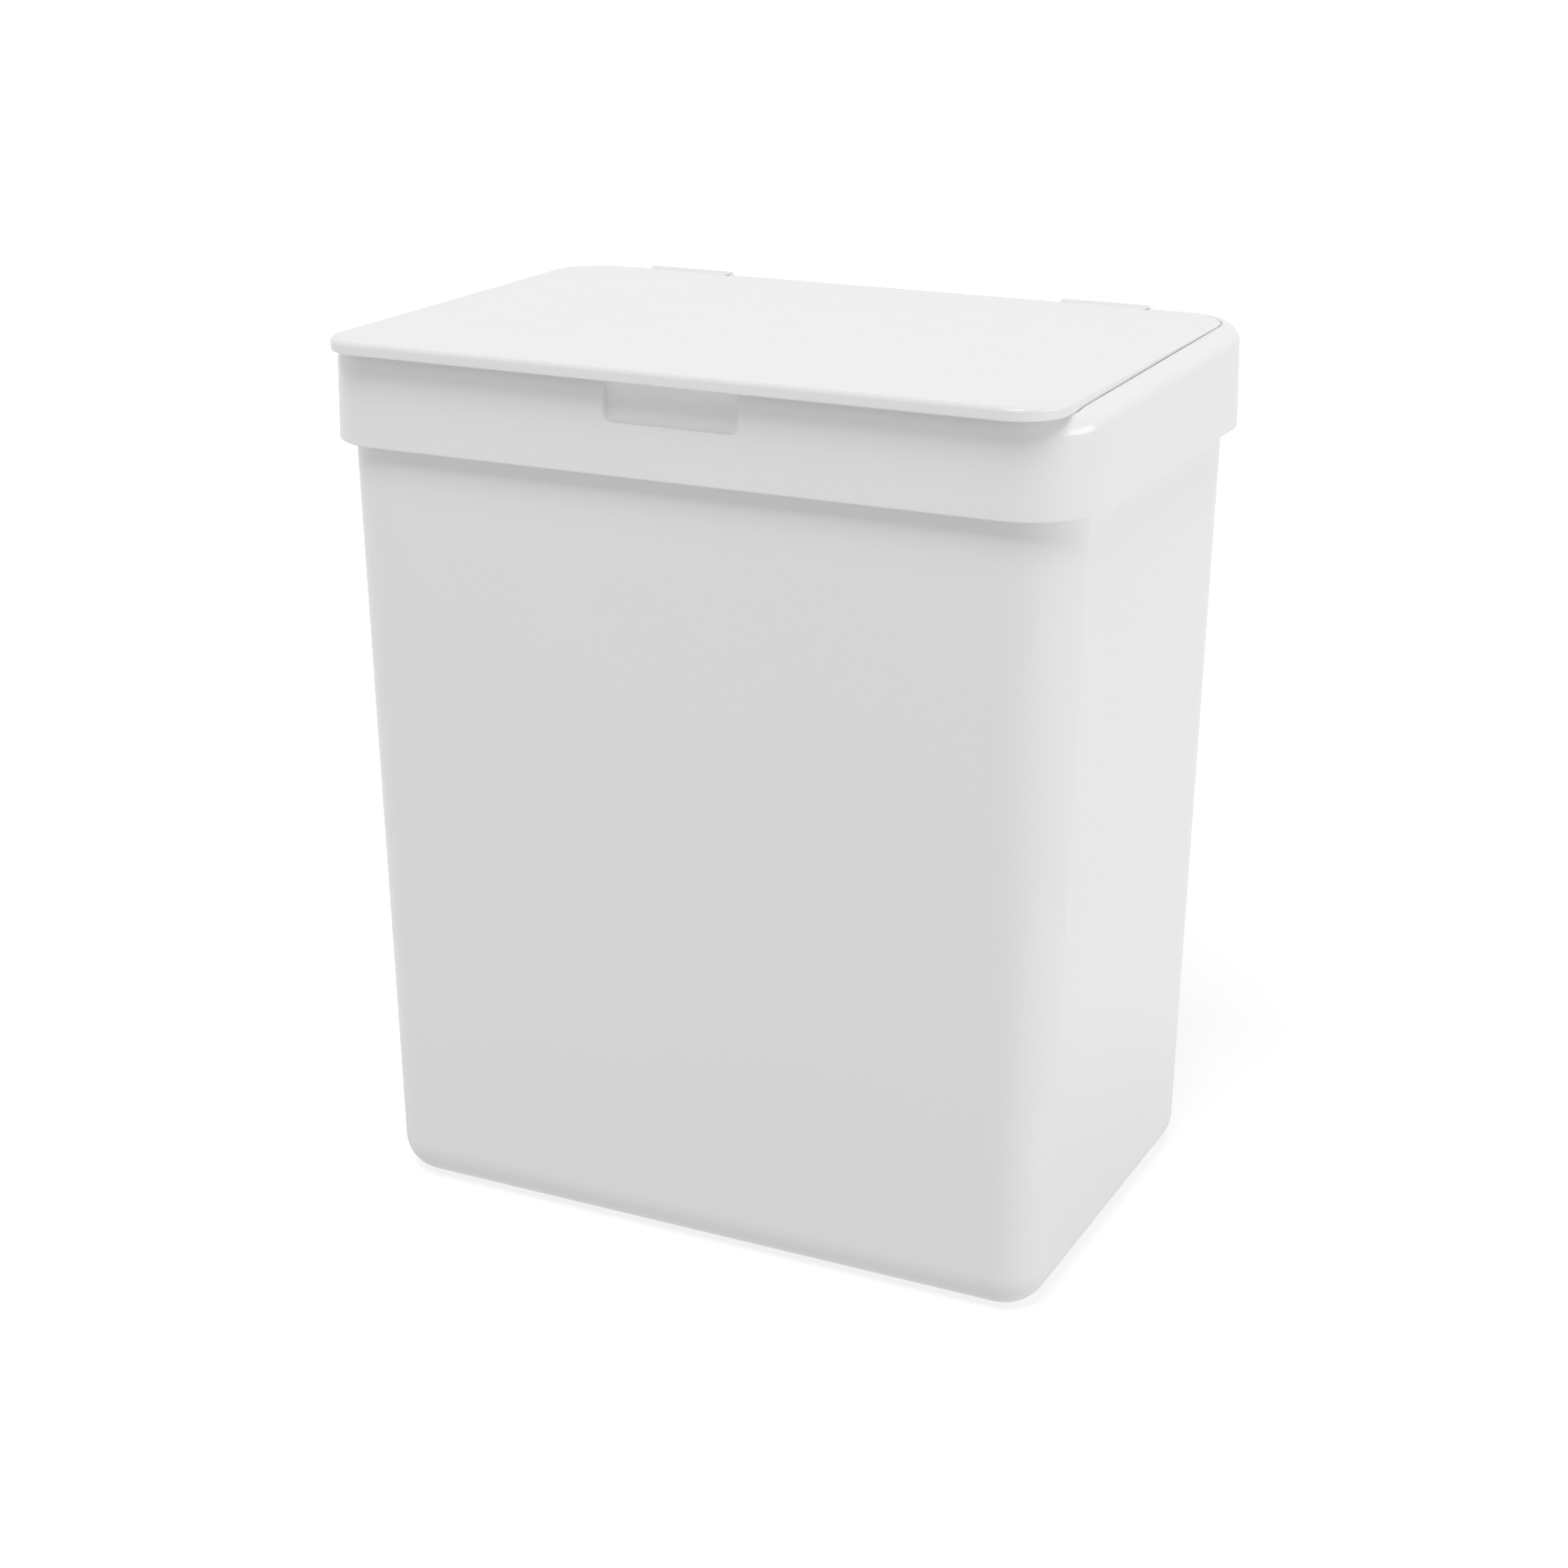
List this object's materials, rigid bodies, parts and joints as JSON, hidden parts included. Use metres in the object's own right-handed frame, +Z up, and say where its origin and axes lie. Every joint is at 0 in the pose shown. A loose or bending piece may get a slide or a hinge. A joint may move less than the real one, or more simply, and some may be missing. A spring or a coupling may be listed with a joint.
{
  "type": "waste bin",
  "caption": "Small rectangular waste bin: a tapered bucket, a lift-off collar that holds the bag, and a flat lid hinged at the back with a finger recess below its front edge.",
  "frame": {"origin": "centre of the bin's plan bounding box, on the floor under the bucket", "axes": "+Z up, +X to the right as seen from the front, +Y from the front with the finger recess to the back with the hinge"},
  "size_m": [0.21, 0.1418, 0.2408],
  "materials": {
    "white_plastic": "injection-moulded white polypropylene with a soft gloss"
  },
  "bodies": {
    "bucket": {"bucket": "white_plastic"},
    "collar": {"collar": "white_plastic"},
    "lid": {"lid": "white_plastic"}
  },
  "joints": [
    {"name": "collar_lift", "type": "slide", "parent": "bucket", "child": "collar", "axis": [0, 0, 1], "range_m": [0, 0.04]},
    {"name": "lid_hinge", "type": "hinge", "parent": "collar", "child": "lid", "pos_m": [0, 0.06545, 0.2348], "axis": [-1, 0, 0], "range_deg": [0, 100]}
  ]
}
